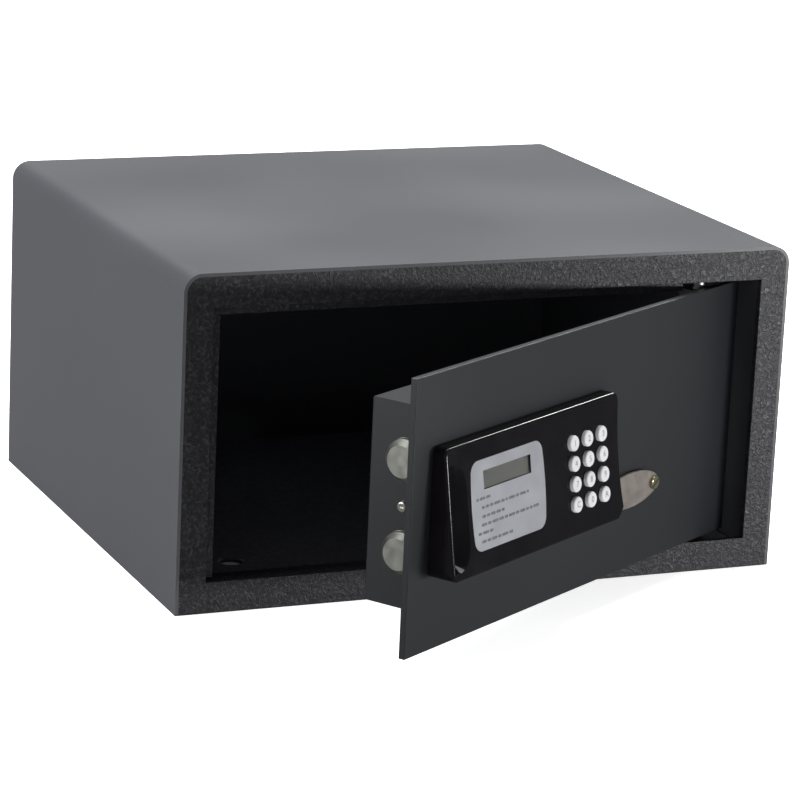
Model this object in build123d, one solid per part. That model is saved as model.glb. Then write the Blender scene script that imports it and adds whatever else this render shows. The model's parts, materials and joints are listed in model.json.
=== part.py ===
"""In-room hotel safe, millimetres, +Z up.

Origin: centre of the underside.  +X is to the right of someone facing the safe, the front faces -Y.
The door is modelled closed and then swung open by REST_ANGLE about its hinge pins, so every piece
on the door shares one movement.  On the door, u runs from the plate's left edge, w runs from the
plate's front face into the safe, and v is the height above the middle of the door.
"""
from build123d import *
import math
import os

# ---------------------------------------------------------------- driving sizes: body
WIDTH = 384.0
DEPTH = 334.0
HEIGHT = 200.0
WRAP_T = 2.0                 # folded sheet that makes both sides and the roof
WRAP_R = 11.0                # outside radius of its two folds
BASE_T = 2.0
REAR_T = 2.0
DOOR_T = 4.0
FRAME_T = DOOR_T             # plate around the door opening, flush with the closed door
FRAME_SIDE = 18.3            # from the outside of the safe to the opening
FRAME_TOP = 20.0
FRAME_BOTTOM = 18.5
EDGE_R = 0.4                 # broken edges of the thick plates
STOP_T = 2.0                 # door stops behind the frame
STOP_REACH = 5.0             # how far they reach into the opening
STOP_LAP = 8.0               # how far they lap the frame
SILL_T = 2.0
SILL_DEPTH = 12.0
ANCHOR_R = 6.0               # holes for 10 mm anchor bolts
FLOOR_ANCHOR_X = 260.0
FLOOR_ANCHOR_Y = 180.0
WALL_ANCHOR_X = 240.0
WALL_ANCHOR_Z = 130.0
MAT_T = 3.0
MAT_GAP = 2.0
MAT_HOLE_R = 8.0
LAMP_X = -60.0
LAMP_FROM_FRONT = 52.0
LAMP_SIZE = (64.0, 24.0, 9.0)
LAMP_LENS_T = 2.5
LAMP_RIM = 2.0

# ---------------------------------------------------------------- driving sizes: door and hinge
DOOR_GAP_FREE = 3.5          # beside the closed door's free edge
DOOR_GAP_HINGE = 7.0         # where its other end swings in behind the frame
DOOR_GAP_TOP = 3.7
DOOR_GAP_FOOT = 2.0
DOOR_PROUD = 0.2             # the closed door stands this far in front of the frame
PIVOT_FROM_SIDE = 55.0
PIVOT_W = 11.2               # pin centre behind the door's front face
PIN_R = 4.0
PIN_FIT = 0.05
REST_ANGLE = 31.8
HINGE_BLOCK = (16.0, 15.2, 16.0)
HINGE_BLOCK_INSET = 2.0
BRACKET_T = 3.0
BRACKET_W = 28.0
BRACKET_REACH = 20.0
BRACKET_FLANGE = 8.0
BRACKET_GAP = 1.0

# ---------------------------------------------------------------- driving sizes: lock case
CASE_INSET = 19.7
CASE_MARGIN_Z = 20.5
CASE_TO_PIVOT = 23.5
CASE_DEPTH = 38.6
CASE_T = 1.2
CASE_R = 2.0
CASE_SCREW_TO_BOLT = 0.5     # how far the case screws sit behind the bolts' axis
SCREW_HEAD_R = 3.0
SCREW_HEAD_T = 2.0
SCREW_R = 1.5
SCREW_HEAD_GAP = 0.5

# ---------------------------------------------------------------- driving sizes: bolt work
BOLT_R = 12.0
BOLT_PITCH = 52.0
BOLT_TO_FOOT = 0.5           # clearance between a bolt and the foot of its guide
BOLT_BEVEL = 3.0
BOLT_SHOW = 5.0              # how far a withdrawn bolt still stands out of the case
BOLT_TRAVEL = 25.0
BOLT_BODY = 41.0
BOLT_CASE_GAP = 0.5
TAIL_R = 5.0
TAIL_LENGTH = 34.0
GUIDE_T = 3.0
GUIDE_FOOT_T = 2.0
GUIDE_REAR_U = 61.7
GUIDE_TO_BAR = 0.3           # clearance between the guide's rear wall and the draw bar
GUIDE_END = 22.0
CARRIAGE_T = 3.0
CLIP_T = 1.0
CLIP_R = 8.0
RACK_TO_PLATE = 2.5
RACK_T = 5.0
RACK_H = 6.75
RACK_LENGTH = 69.0
GEAR_MODULE = 1.0
PINION_TEETH = 14
TOOTH_PLAY = 0.25
TIP_LEAN = 0.7               # the pinion's flanks steepen towards the tip
PINION_U = 97.7
PINION_SHAFT_R = 2.0
PINION_SHAFT_L = 13.0
MOTOR_R = 12.0
MOTOR_L = 24.0
MOTOR_PLATE_T = 1.5
MOTOR_PLATE_W = 32.0
DRAW_BAR_T = 2.0
DRAW_BAR_H = 8.0
DRAW_TAB = 1.0

# ---------------------------------------------------------------- driving sizes: override lock
LOCK_U = 219.7
LOCK_V = -29.1
LOCK_R = 9.5
LOCK_L = 24.0
LOCK_FLANGE_R = 10.3
LOCK_FLANGE_T = 1.2
LOCK_NUT_T = 4.0
LOCK_NUT_AF = 26.0
PLUG_R = 6.0
KEYWAY = (1.6, 8.0, 12.0)
CAM_T = 2.5
CAM_W = 8.0
CAM_REACH = 17.7
CAM_LEAN = 45.0              # the cam rests this far to the left of straight down
CAM_GAP = 0.4
COVER_OVAL = (61.0, 21.4)    # the cover is an oval with its left end cut off
COVER_OVAL_FROM_SCREW = 25.0
COVER_CUT_FROM_SCREW = 43.5
COVER_CORNER_R = 5.0
COVER_T = 1.5
COVER_SCREW_U = 245.7
COVER_SHAFT_R = 2.5
COVER_HEAD_R = 4.2
COVER_HEAD_T = 1.8
COVER_CLEAR = 0.2

# ---------------------------------------------------------------- driving sizes: electronics
BOARD_T = 1.6
STANDOFF = 6.0
CONTROL_BOARD = (66.0, 46.0)
CONTROL_U = 131.7
CONTROL_V = 2.0
CELL_R = 7.25
CELL_L = 50.5
CELL_GAP = 0.4
HOLDER_WALL = 1.6
HOLDER_U = 209.7
HOLDER_V = -10.0
COVER_LAP = 4.0
BATTERY_COVER_T = 1.6
RIBBON = (14.0, 1.0)
RIBBON_U = 147.7
RIBBON_V = 13.0

# ---------------------------------------------------------------- driving sizes: keypad
HOUSING_U0 = 17.7
HOUSING_U1 = 190.7
HOUSING_TOP_V = 37.25
HOUSING_BOTTOM_V = -35.75
HOUSING_TOP_DEPTH = 8.0
HOUSING_BOTTOM_DEPTH = 18.0
HOUSING_T = 2.0
HOUSING_R = 4.5
HOUSING_WAIST = 2.6          # hollow of the right-hand end
HOUSING_FOOT = 6.0           # bevel of its lower right corner
HOUSING_EDGE_R = 1.3
PULL_SIZE = (16.0, 60.0)     # mouth of the finger scoop
PULL_ROOT = (5.0, 46.0)      # its floor, close to the left wall
PULL_V = -1.75
PULL_WALL = 1.8
PULL_FLOOR = 2.4
PULL_R = 13.0
PULL_ROOT_R = 3.0
LABEL_U = (38.4, 110.7)
LABEL_S = (-24.0, 26.0)
LABEL_BULGE = 1.8
LABEL_R = 7.0
LABEL_T = 0.3
WINDOW_U = (51.2, 97.7)
WINDOW_S = (9.2, 19.6)
WINDOW_T = 1.2
WINDOW_SINK = 0.5
KEY_R = 4.5
KEY_RISE = 2.4
KEY_FLANGE_R = KEY_R + 0.5
KEY_FLANGE_T = 0.9
KEY_GAP = 0.2
KEY_UNDER = 1.2
KEY_MID_U = 154.35
KEY_MID_S = -0.15
KEY_SPACE_U = 4.65            # between the flanges of neighbouring keys
KEY_SPACE_S = 1.7
KEY_PITCH_U = 2 * KEY_FLANGE_R + KEY_SPACE_U
KEY_PITCH_S = 2 * KEY_FLANGE_R + KEY_SPACE_S
KEY_TRAVEL = 1.2
MAT_SHEET_T = 1.0
BOSS_R = 3.5
BOSS_SINK = 1.2              # how far a screw boss runs into the wall beside it

# ---------------------------------------------------------------- worked out from the above
FRONT = -DEPTH / 2
BACK = DEPTH / 2
INNER_X = WIDTH / 2 - WRAP_T
INNER_TOP = HEIGHT - WRAP_T
INNER_R = WRAP_R - WRAP_T
OPEN_X = WIDTH / 2 - FRAME_SIDE
OPEN_Z0 = FRAME_BOTTOM
OPEN_Z1 = HEIGHT - FRAME_TOP
FRAME_BACK = FRONT + FRAME_T
DOOR_X0 = -OPEN_X + DOOR_GAP_FREE
DOOR_WIDTH = 2 * OPEN_X - DOOR_GAP_FREE - DOOR_GAP_HINGE
DOOR_Y0 = FRONT - DOOR_PROUD
DOOR_Z0 = OPEN_Z0 + DOOR_GAP_FOOT
DOOR_Z1 = OPEN_Z1 - DOOR_GAP_TOP
DOOR_MID = (DOOR_Z0 + DOOR_Z1) / 2
DOOR_HALF = (DOOR_Z1 - DOOR_Z0) / 2
PIVOT_X = WIDTH / 2 - PIVOT_FROM_SIDE
PIVOT_Y = DOOR_Y0 + PIVOT_W
PIVOT_U = PIVOT_X - DOOR_X0
CASE_U0 = CASE_INSET
CASE_U1 = PIVOT_U - CASE_TO_PIVOT
CASE_V = DOOR_HALF - CASE_MARGIN_Z
CASE_W1 = DOOR_T + CASE_DEPTH
BOLT_V = BOLT_PITCH / 2
BOLT_U0 = CASE_U0 - BOLT_SHOW
BOLT_W = DOOR_T + GUIDE_FOOT_T + BOLT_TO_FOOT + BOLT_R
CASE_SCREW_W = BOLT_W + CASE_SCREW_TO_BOLT
SHOULDER_U = BOLT_U0 + BOLT_BODY
GUIDE_U = CASE_U0 + CASE_T
CARRIAGE_U1 = SHOULDER_U + CARRIAGE_T
RACK_W = DOOR_T + RACK_TO_PLATE
PINION_PITCH_R = GEAR_MODULE * PINION_TEETH / 2
ADDENDUM = GEAR_MODULE
DEDENDUM = 1.25 * GEAR_MODULE
RACK_PITCH_V = -5.25
PINION_V = RACK_PITCH_V + PINION_PITCH_R
MOTOR_W = RACK_W + RACK_T + MOTOR_PLATE_T + 0.5
DRAW_V = LOCK_V - CAM_REACH
DRAW_W = LOCK_L + CAM_GAP + CAM_T + CAM_GAP + DRAW_TAB
GUIDE_W = DRAW_W - GUIDE_TO_BAR
FACE_TILT = math.degrees(math.atan2(HOUSING_BOTTOM_DEPTH - HOUSING_TOP_DEPTH,
                                    HOUSING_TOP_V - HOUSING_BOTTOM_V))
FACE_MID_DEPTH = HOUSING_TOP_DEPTH + HOUSING_TOP_V * math.tan(math.radians(FACE_TILT))
KEY_BASE = -HOUSING_T - KEY_UNDER
SHEET_TOP = KEY_BASE - KEY_TRAVEL - 0.1
BOARD_TOP = SHEET_TOP - MAT_SHEET_T
KEY_NAMES = ("1", "2", "3", "4", "5", "6", "7", "8", "9", "clear", "0", "lock")

# Door plane: x is u, y is v, z points out of the door.  Key face: the same, leaned back by FACE_TILT.
DOOR_PLANE = Plane(origin=(DOOR_X0, DOOR_Y0, DOOR_MID), x_dir=(1, 0, 0), z_dir=(0, -1, 0))
FACE_LEAN = math.radians(FACE_TILT)
FACE_ON_DOOR = Plane(origin=(0, 0, FACE_MID_DEPTH), x_dir=(1, 0, 0),
                     z_dir=(0, math.sin(FACE_LEAN), math.cos(FACE_LEAN)))
KEY_FACE = Plane(DOOR_PLANE * FACE_ON_DOOR)
HINGE_AXIS = Axis((PIVOT_X, PIVOT_Y, 0), (0, 0, 1))


# ---------------------------------------------------------------- small helpers
def block(x0, x1, y0, y1, z0, z1):
    """A rectangular solid between two corners."""
    return Pos((x0 + x1) / 2, (y0 + y1) / 2, (z0 + z1) / 2) * Box(x1 - x0, y1 - y0, z1 - z0)


def door_block(u0, u1, w0, w1, v0, v1):
    """A rectangular solid on the closed door."""
    return block(DOOR_X0 + u0, DOOR_X0 + u1, DOOR_Y0 + w0, DOOR_Y0 + w1, DOOR_MID + v0, DOOR_MID + v1)


def rod_w(u, v, w0, w1, r):
    """A rod on the closed door, along w."""
    return Pos(DOOR_X0 + u, DOOR_Y0 + (w0 + w1) / 2, DOOR_MID + v) * Rot(90, 0, 0) * Cylinder(r, w1 - w0)


def rod_u(w, v, u0, u1, r):
    """A rod on the closed door, along u."""
    return Pos(DOOR_X0 + (u0 + u1) / 2, DOOR_Y0 + w, DOOR_MID + v) * Rot(0, 90, 0) * Cylinder(r, u1 - u0)


def rod_z(x, y, z0, z1, r):
    """An upright rod."""
    return Pos(x, y, (z0 + z1) / 2) * Cylinder(r, z1 - z0)


def front_prism(sketch, y_front, y_back):
    """A sketch drawn in x and z, made solid between two depths."""
    plane = Plane(origin=(0, y_back, 0), x_dir=(1, 0, 0), z_dir=(0, -1, 0))
    return extrude(plane * sketch, y_back - y_front)


def arch(half_width, top, radius):
    """Upright rectangle standing on z = 0 with its two upper corners rounded."""
    outline = Pos(0, top / 2) * Rectangle(2 * half_width, top)
    return fillet(outline.vertices().group_by(Axis.Y)[-1], radius)


def corner_points(span_a, span_b):
    """The four corners of a centred rectangle."""
    return [(a * span_a / 2, b * span_b / 2) for a in (-1, 1) for b in (-1, 1)]


def swing(part):
    """Open the door by its rest angle."""
    return part.rotate(HINGE_AXIS, REST_ANGLE)


# ---------------------------------------------------------------- body
def body_wrap():
    """Both sides and the roof, folded from one sheet and open below."""
    outer = arch(WIDTH / 2, HEIGHT, WRAP_R)
    inner = arch(INNER_X, INNER_TOP, INNER_R)
    return front_prism(outer - inner, FRONT, BACK)


def front_frame():
    """Plate around the door opening, inside the wrap."""
    opening = Pos(0, (OPEN_Z0 + OPEN_Z1) / 2) * Rectangle(2 * OPEN_X, OPEN_Z1 - OPEN_Z0)
    plate = front_prism(arch(INNER_X, INNER_TOP, INNER_R) - opening, FRONT, FRAME_BACK)
    rim = plate.edges().filter_by(lambda e: abs(e.center().Y - FRONT) < 1e-6
                                  and abs(e.center().X) < OPEN_X + 0.1
                                  and OPEN_Z0 - 0.1 < e.center().Z < OPEN_Z1 + 0.1)
    return fillet(rim, EDGE_R)


def floor_anchor_points():
    return corner_points(FLOOR_ANCHOR_X, FLOOR_ANCHOR_Y)


def base_plate():
    plate = block(-INNER_X, INNER_X, FRAME_BACK, BACK - REAR_T, 0, BASE_T)
    for x, y in floor_anchor_points():
        plate -= rod_z(x, y, 0, BASE_T, ANCHOR_R)
    return plate


def rear_panel():
    panel = front_prism(arch(INNER_X, INNER_TOP, INNER_R), BACK - REAR_T, BACK)
    for x, z in corner_points(WALL_ANCHOR_X, WALL_ANCHOR_Z):
        panel -= Pos(x, BACK - REAR_T / 2, HEIGHT / 2 + z) * Rot(90, 0, 0) * Cylinder(ANCHOR_R, REAR_T)
    return panel


def stop_strip_left():
    return block(-OPEN_X - STOP_LAP, -OPEN_X + STOP_REACH, FRAME_BACK, FRAME_BACK + STOP_T,
                 OPEN_Z0 + SILL_T, OPEN_Z1 - STOP_REACH)


def strip_right_end():
    """The stops end short of the hinge, where the leaf's right end swings inwards."""
    return PIVOT_X - BRACKET_W / 2


def stop_strip_top():
    return block(-OPEN_X - STOP_LAP, strip_right_end(), FRAME_BACK, FRAME_BACK + STOP_T,
                 OPEN_Z1 - STOP_REACH, OPEN_Z1 + STOP_LAP)


def sill_strip():
    return block(-OPEN_X - STOP_LAP, strip_right_end(), FRAME_BACK, FRAME_BACK + SILL_DEPTH,
                 OPEN_Z0 - SILL_T, OPEN_Z0)


def hinge_bracket(z_leaf, side):
    """Angle behind the frame; its leaf holds the hinge pin.  side is +1 above the door, -1 below."""
    far = z_leaf + side * BRACKET_T
    tip = far + side * BRACKET_FLANGE
    leaf = block(PIVOT_X - BRACKET_W / 2, PIVOT_X + BRACKET_W / 2, FRAME_BACK, FRAME_BACK + BRACKET_REACH,
                 min(z_leaf, far), max(z_leaf, far))
    flange = block(PIVOT_X - BRACKET_W / 2, PIVOT_X + BRACKET_W / 2, FRAME_BACK, FRAME_BACK + BRACKET_T,
                   min(far, tip), max(far, tip))
    return leaf + flange - rod_z(PIVOT_X, PIVOT_Y, min(z_leaf, far), max(z_leaf, far), PIN_R + PIN_FIT)


def floor_mat():
    mat = block(-INNER_X + MAT_GAP, INNER_X - MAT_GAP, FRAME_BACK + MAT_GAP, BACK - REAR_T - MAT_GAP,
                BASE_T, BASE_T + MAT_T)
    for x, y in floor_anchor_points():
        mat -= rod_z(x, y, BASE_T, BASE_T + MAT_T, MAT_HOLE_R)
    return mat


def lamp_bounds(inset):
    length, depth, _ = LAMP_SIZE
    y = FRONT + LAMP_FROM_FRONT
    return (LAMP_X - length / 2 + inset, LAMP_X + length / 2 - inset,
            y - depth / 2 + inset, y + depth / 2 - inset)


def lamp_housing():
    height = LAMP_SIZE[2]
    shell = block(*lamp_bounds(0), INNER_TOP - height, INNER_TOP)
    pocket = block(*lamp_bounds(LAMP_RIM), INNER_TOP - height, INNER_TOP - LAMP_RIM)
    return shell - pocket


def lamp_lens():
    z0 = INNER_TOP - LAMP_SIZE[2]
    return block(*lamp_bounds(LAMP_RIM), z0, z0 + LAMP_LENS_T)


# ---------------------------------------------------------------- door leaf and hinge
def housing_screw_points():
    inset = HOUSING_T + BOSS_R - BOSS_SINK
    return [(u, v) for u in (HOUSING_U0 + PULL_SIZE[0] + 2 * PULL_WALL + HOUSING_T + BOSS_R,
                             HOUSING_U1 - HOUSING_FOOT - inset)
            for v in (HOUSING_BOTTOM_V + inset, HOUSING_TOP_V - inset)]


def door_plate():
    plate = door_block(0, DOOR_WIDTH, 0, DOOR_T, -DOOR_HALF, DOOR_HALF)
    plate = fillet(plate.edges(), EDGE_R)
    plate -= rod_w(LOCK_U, LOCK_V, 0, DOOR_T, LOCK_R)
    plate -= rod_w(COVER_SCREW_U, LOCK_V, 0, DOOR_T, COVER_SHAFT_R)
    plate -= door_block(RIBBON_U - RIBBON[0] / 2 - 1, RIBBON_U + RIBBON[0] / 2 + 1, 0, DOOR_T,
                        RIBBON_V - 3, RIBBON_V + 3)
    for u, v in housing_screw_points():
        plate -= rod_w(u, v, 0, DOOR_T, SCREW_R)
    return plate


def hinge_block(side):
    """Block behind the leaf that the pin is pressed into.  side is +1 for the upper one, -1 for the lower."""
    width, depth, height = HINGE_BLOCK
    outer = side * (DOOR_HALF - HINGE_BLOCK_INSET)
    inner = outer - side * height
    body = door_block(PIVOT_U - width / 2, PIVOT_U + width / 2, DOOR_T, DOOR_T + depth,
                      min(outer, inner), max(outer, inner))
    return body - rod_z(PIVOT_X, PIVOT_Y, DOOR_MID + min(outer, inner), DOOR_MID + max(outer, inner), PIN_R)


def bracket_z(side):
    """Height of the face of the hinge bracket that looks at the door."""
    if side > 0:
        return OPEN_Z1 + BRACKET_GAP
    return OPEN_Z0 - BRACKET_GAP


def hinge_pin(side):
    """Pin pressed into its block and running in the bracket.  side is as for hinge_block."""
    inner = DOOR_MID + side * (DOOR_HALF - HINGE_BLOCK_INSET - HINGE_BLOCK[2])
    outer = bracket_z(side) + side * BRACKET_T
    return rod_z(PIVOT_X, PIVOT_Y, min(inner, outer), max(inner, outer), PIN_R)


# ---------------------------------------------------------------- lock case
def battery_holder_size():
    """Four cells side by side: length along u, height along v, depth along w."""
    across = 4 * 2 * CELL_R + 5 * CELL_GAP
    return (across + 2 * HOLDER_WALL, CELL_L + 2 * CELL_GAP + 2 * HOLDER_WALL,
            2 * CELL_R + HOLDER_WALL)


def battery_opening():
    """The hole in the case behind the cells, as u and v limits."""
    length, height, _ = battery_holder_size()
    return (HOLDER_U + HOLDER_WALL, HOLDER_U + length - HOLDER_WALL,
            HOLDER_V + HOLDER_WALL, HOLDER_V + height - HOLDER_WALL)


def lock_case():
    """Folded pan over the lock work, open towards the door plate."""
    case = door_block(CASE_U0, CASE_U1, DOOR_T, CASE_W1, -CASE_V, CASE_V)
    rear = case.edges().filter_by(lambda e: abs(e.center().Y - (DOOR_Y0 + CASE_W1)) < 1e-6)
    case = fillet(rear, CASE_R)
    case -= door_block(CASE_U0 + CASE_T, CASE_U1 - CASE_T, DOOR_T, CASE_W1 - CASE_T,
                       -CASE_V + CASE_T, CASE_V - CASE_T)
    for side in (-1, 1):
        case -= rod_u(BOLT_W, side * BOLT_V, CASE_U0, CASE_U0 + CASE_T, BOLT_R + BOLT_CASE_GAP)
    case -= rod_u(CASE_SCREW_W, 0, CASE_U0, CASE_U0 + CASE_T, SCREW_R)
    case -= rod_u(CASE_SCREW_W, 0, CASE_U1 - CASE_T, CASE_U1, SCREW_R)
    u0, u1, v0, v1 = battery_opening()
    case -= door_block(u0, u1, CASE_W1 - CASE_T, CASE_W1, v0, v1)
    return case - rod_w(u0 - COVER_LAP, (v0 + v1) / 2, CASE_W1 - CASE_T, CASE_W1, SCREW_R)


def case_bracket():
    """Angle at the hinge end that the case is screwed to."""
    u1 = CASE_U1 - CASE_T
    foot = door_block(u1 - GUIDE_END, u1, DOOR_T, DOOR_T + GUIDE_FOOT_T, -GUIDE_END / 2, GUIDE_END / 2)
    wall = door_block(u1 - GUIDE_T, u1, DOOR_T, GUIDE_W, -GUIDE_END / 2, GUIDE_END / 2)
    return foot + wall - rod_u(CASE_SCREW_W, 0, u1 - GUIDE_T, u1, SCREW_R)


def pan_screw(place, length):
    """Pan-head screw whose head sits on z = 0 and whose shank runs to -z."""
    head = extrude(Circle(SCREW_HEAD_R), SCREW_HEAD_T)
    head = fillet(head.edges().group_by(Axis.Z)[-1], SCREW_HEAD_T * 0.45)
    for turn in (0, 90):
        head -= Rot(0, 0, turn) * Pos(0, 0, SCREW_HEAD_T) * Box(SCREW_HEAD_R, 0.8, 1.4)
    return place * (head + Pos(0, 0, -length / 2) * Cylinder(SCREW_R, length))


def case_screws():
    """One screw in each end of the case and one in the battery cover."""
    left = Plane(origin=(DOOR_X0 + CASE_U0, DOOR_Y0 + CASE_SCREW_W, DOOR_MID), z_dir=(-1, 0, 0))
    right = Plane(origin=(DOOR_X0 + CASE_U1, DOOR_Y0 + CASE_SCREW_W, DOOR_MID), z_dir=(1, 0, 0))
    u0, _, v0, v1 = battery_opening()
    rear = Plane(origin=(DOOR_X0 + u0 - COVER_LAP, DOOR_Y0 + CASE_W1 + BATTERY_COVER_T, DOOR_MID + (v0 + v1) / 2),
                 z_dir=(0, 1, 0))
    return (pan_screw(left, CASE_T + GUIDE_T) + pan_screw(right, CASE_T + GUIDE_T)
            + pan_screw(rear, CASE_T + BATTERY_COVER_T))


# ---------------------------------------------------------------- bolt work
def locking_bolt(side):
    body = rod_u(BOLT_W, side * BOLT_V, BOLT_U0, SHOULDER_U, BOLT_R)
    tip = body.edges().group_by(Axis.X)[0]
    body = chamfer(tip, BOLT_BEVEL)
    return body + rod_u(BOLT_W, side * BOLT_V, SHOULDER_U, SHOULDER_U + TAIL_LENGTH, TAIL_R)


def guide_half_height():
    return BOLT_V + BOLT_R + 5.0


def bolt_guide():
    """Channel behind the plate: its end walls carry the bolts and their tails."""
    half = guide_half_height()
    rear = GUIDE_REAR_U
    foot = door_block(GUIDE_U, rear + GUIDE_T, DOOR_T, DOOR_T + GUIDE_FOOT_T, -half, half)
    front_wall = door_block(GUIDE_U, GUIDE_U + GUIDE_T, DOOR_T, BOLT_W + BOLT_R + 3.0, -half, half)
    rear_wall = door_block(rear, rear + GUIDE_T, DOOR_T, GUIDE_W, -half, half)
    guide = foot + front_wall + rear_wall
    for side in (-1, 1):
        guide -= rod_u(BOLT_W, side * BOLT_V, GUIDE_U, GUIDE_U + GUIDE_T, BOLT_R + PIN_FIT)
        guide -= rod_u(BOLT_W, side * BOLT_V, rear, rear + GUIDE_T, TAIL_R + PIN_FIT)
    guide -= rod_u(CASE_SCREW_W, 0, GUIDE_U, GUIDE_U + GUIDE_T, SCREW_R)
    for u, v in housing_screw_points():
        guide -= rod_w(u, v, DOOR_T, DOOR_T + GUIDE_FOOT_T, SCREW_HEAD_R + SCREW_HEAD_GAP)
    window_top = RACK_PITCH_V + ADDENDUM + 1.0
    window_bottom = RACK_PITCH_V - DEDENDUM - RACK_H - 1.0
    return guide - door_block(rear, rear + GUIDE_T, DOOR_T + GUIDE_FOOT_T, RACK_W + RACK_T + 1.0,
                              window_bottom, window_top)


def bolt_carriage():
    """Upright plate that ties the two bolts, the rack and the draw bar together."""
    plate = door_block(SHOULDER_U, CARRIAGE_U1, RACK_W, DRAW_W + DRAW_BAR_T,
                       DRAW_V - DRAW_BAR_H / 2, BOLT_V + BOLT_R)
    for side in (-1, 1):
        plate -= rod_u(BOLT_W, side * BOLT_V, SHOULDER_U, CARRIAGE_U1, TAIL_R)
    return plate


def bolt_clips():
    """Retaining rings on the bolt tails behind the carriage."""
    rings = []
    for side in (-1, 1):
        ring = rod_u(BOLT_W, side * BOLT_V, CARRIAGE_U1, CARRIAGE_U1 + CLIP_T, CLIP_R)
        rings.append(ring - rod_u(BOLT_W, side * BOLT_V, CARRIAGE_U1, CARRIAGE_U1 + CLIP_T, TAIL_R))
    return rings[0] + rings[1]


def drive_rack():
    """Toothed bar; a gap between teeth lies under the pinion."""
    pitch = math.pi * GEAR_MODULE
    root = RACK_PITCH_V - DEDENDUM
    u_end = CARRIAGE_U1 + RACK_LENGTH
    bar = door_block(CARRIAGE_U1, u_end, RACK_W, RACK_W + RACK_T, root - RACK_H, root)
    half_root = pitch / 4 + DEDENDUM * math.tan(math.radians(20)) - TOOTH_PLAY
    half_tip = pitch / 4 - ADDENDUM * math.tan(math.radians(20)) - TOOTH_PLAY
    first = math.ceil((CARRIAGE_U1 + GUIDE_T + pitch - PINION_U) / pitch) + 0.5
    count = int((u_end - pitch - PINION_U) / pitch - first) + 1
    for i in range(count):
        u = PINION_U + (first + i) * pitch
        profile = Polygon((u - half_root, root), (u + half_root, root), (u + half_tip, RACK_PITCH_V + ADDENDUM),
                          (u - half_tip, RACK_PITCH_V + ADDENDUM), align=None)
        bar += extrude(DOOR_PLANE * Pos(0, 0, -RACK_W - RACK_T) * profile, RACK_T)
    return bar


def drive_pinion():
    """Spur pinion on its shaft; one tooth points straight down at the rack."""
    root_r = PINION_PITCH_R - DEDENDUM
    tip_r = PINION_PITCH_R + ADDENDUM
    half_tooth = math.pi * GEAR_MODULE / 4 - TOOTH_PLAY
    slope = math.tan(math.radians(20))
    half_root = (half_tooth + DEDENDUM * slope) / root_r
    half_tip = (half_tooth - TIP_LEAN * ADDENDUM * slope) / tip_r
    outline = []
    for i in range(PINION_TEETH):
        centre = -math.pi / 2 + 2 * math.pi * i / PINION_TEETH
        outline += [(root_r, centre - half_root), (tip_r, centre - half_tip),
                    (tip_r, centre + half_tip), (root_r, centre + half_root)]
    gear = Polygon(*[(r * math.cos(a), r * math.sin(a)) for r, a in outline], align=None)
    wheel = extrude(DOOR_PLANE * Pos(PINION_U, PINION_V, -RACK_W - RACK_T) * gear, RACK_T)
    return wheel + rod_w(PINION_U, PINION_V, RACK_W + RACK_T, RACK_W + RACK_T + PINION_SHAFT_L, PINION_SHAFT_R)


def motor_bracket():
    """Angle that holds the gearmotor over the rack."""
    plate_w0 = MOTOR_W - MOTOR_PLATE_T
    top = PINION_V + MOTOR_R + 5.0
    half = MOTOR_PLATE_W / 2
    plate = door_block(PINION_U - half, PINION_U + half, plate_w0, MOTOR_W, PINION_V - MOTOR_R, top)
    leg = door_block(PINION_U - half, PINION_U + half, DOOR_T, plate_w0, top - MOTOR_PLATE_T, top)
    return plate + leg - rod_w(PINION_U, PINION_V, plate_w0, MOTOR_W, PINION_SHAFT_R + 0.6)


def gearmotor():
    """Gearbox and motor can, with the bore that the pinion shaft runs in."""
    can = rod_w(PINION_U, PINION_V, MOTOR_W, MOTOR_W + MOTOR_L, MOTOR_R)
    bore_depth = RACK_W + RACK_T + PINION_SHAFT_L + 0.5
    return can - rod_w(PINION_U, PINION_V, MOTOR_W, bore_depth, PINION_SHAFT_R + PIN_FIT)


def draw_bar():
    """Flat bar from the carriage to the override cam, with a tab at its far end."""
    u_end = LOCK_U + CAM_REACH * math.sin(math.radians(CAM_LEAN)) + CAM_W
    v0 = DRAW_V - DRAW_BAR_H / 2
    v1 = DRAW_V + DRAW_BAR_H / 2
    bar = door_block(CARRIAGE_U1, u_end, DRAW_W, DRAW_W + DRAW_BAR_T, v0, v1)
    tab = door_block(u_end - 3.0, u_end, DRAW_W - DRAW_TAB, DRAW_W, v0, v1)
    return bar + tab


# ---------------------------------------------------------------- override lock and its cover
def lock_cylinder():
    body = rod_w(LOCK_U, LOCK_V, 0, LOCK_L, LOCK_R)
    flange = rod_w(LOCK_U, LOCK_V, -LOCK_FLANGE_T, 0, LOCK_FLANGE_R)
    return body + flange - rod_w(LOCK_U, LOCK_V, -LOCK_FLANGE_T, LOCK_L, PLUG_R + PIN_FIT)


def lock_nut():
    nut = extrude(DOOR_PLANE * Pos(LOCK_U, LOCK_V, -DOOR_T - LOCK_NUT_T)
                  * RegularPolygon(LOCK_NUT_AF / 2, 6, major_radius=False), LOCK_NUT_T)
    return nut - rod_w(LOCK_U, LOCK_V, DOOR_T, DOOR_T + LOCK_NUT_T, LOCK_R)


def lock_plug():
    front = -LOCK_FLANGE_T + 0.2
    plug = rod_w(LOCK_U, LOCK_V, front, LOCK_L + CAM_GAP, PLUG_R)
    slot_w, slot_h, slot_l = KEYWAY
    return plug - door_block(LOCK_U - slot_w / 2, LOCK_U + slot_w / 2, front, front + slot_l,
                             LOCK_V - slot_h / 2, LOCK_V + slot_h / 2)


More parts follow.
